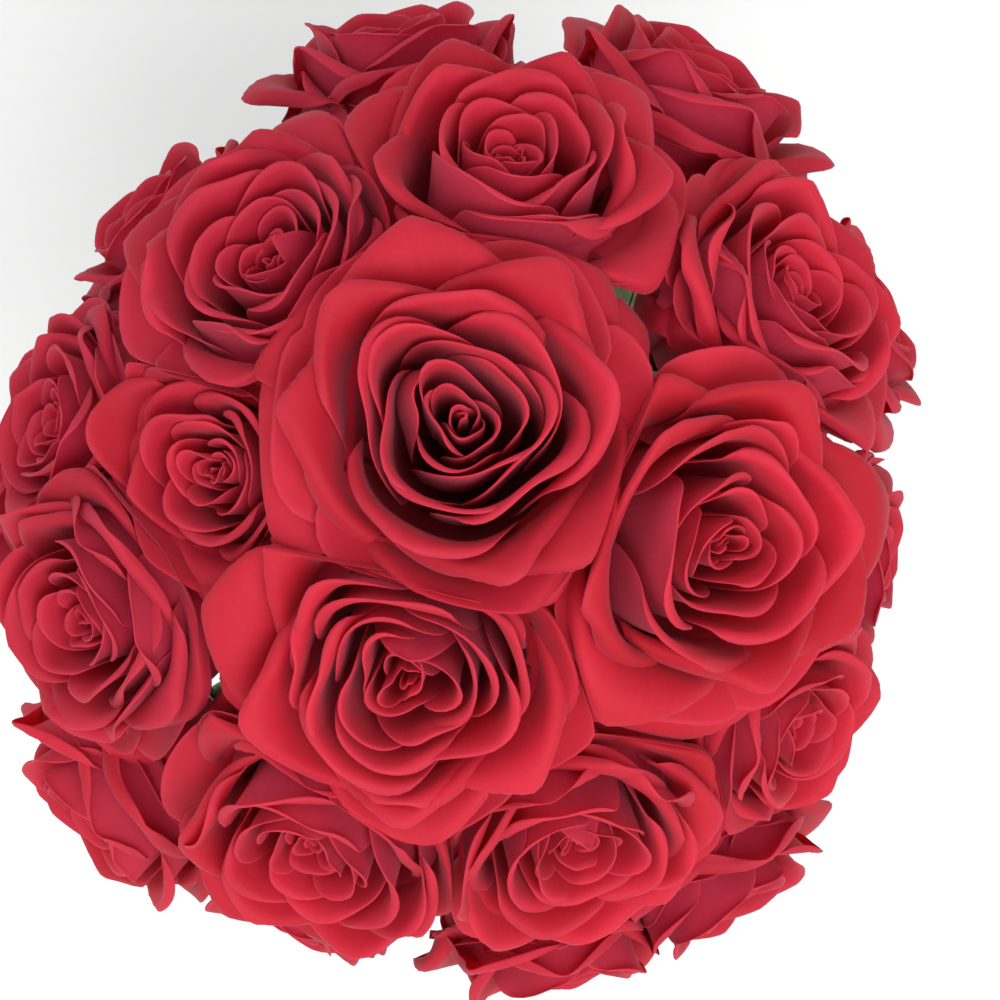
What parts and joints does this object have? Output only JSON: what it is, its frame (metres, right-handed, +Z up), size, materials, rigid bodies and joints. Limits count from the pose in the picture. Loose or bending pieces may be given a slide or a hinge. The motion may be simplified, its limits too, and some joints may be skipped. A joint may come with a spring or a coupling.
{
  "type": "roses in a vase",
  "caption": "Dense dome of open red roses with leaves on thorny green stems, standing in a straight clear glass cylinder vase.",
  "frame": {"origin": "middle of the vase's foot, on the surface it stands on", "axes": "+Z up along the vase and out of its mouth; +X and +Y level"},
  "size_m": [0.2475, 0.2627, 0.4009],
  "materials": {
    "glass": "clear blown glass, fire-polished rim",
    "petals": "velvety, soft sheen, lighter rolled rims",
    "stem": "smooth waxy green bark with prickles",
    "leaf": "leathery, satin, veined"
  },
  "bodies": {
    "root": {"vase": "glass", "stem_01": "stem", "rose_head_01": "petals", "stem_02": "stem", "rose_head_02": "petals", "stem_03": "stem", "rose_head_03": "petals", "stem_04": "stem", "rose_head_04": "petals", "stem_05": "stem", "rose_head_05": "petals", "stem_06": "stem", "rose_head_06": "petals", "stem_07": "stem", "rose_head_07": "petals", "stem_08": "stem", "rose_head_08": "petals", "stem_09": "stem", "rose_head_09": "petals", "stem_10": "stem", "rose_head_10": "petals", "stem_11": "stem", "rose_head_11": "petals", "stem_12": "stem", "rose_head_12": "petals", "stem_13": "stem", "rose_head_13": "petals", "stem_14": "stem", "rose_head_14": "petals", "stem_15": "stem", "rose_head_15": "petals", "stem_16": "stem", "rose_head_16": "petals", "stem_17": "stem", "rose_head_17": "petals", "stem_18": "stem", "rose_head_18": "petals", "stem_19": "stem", "rose_head_19": "petals", "stem_20": "stem", "rose_head_20": "petals", "stem_21": "stem", "rose_head_21": "petals", "stem_22": "stem", "rose_head_22": "petals", "leaf_12": "leaf", "leaf_13": "leaf", "leaf_14": "leaf", "leaf_15": "leaf", "leaf_16": "leaf", "leaf_17": "leaf", "leaf_18": "leaf", "leaf_19": "leaf", "leaf_20": "leaf", "leaf_21": "leaf", "leaf_22": "leaf"}
  },
  "joints": []
}
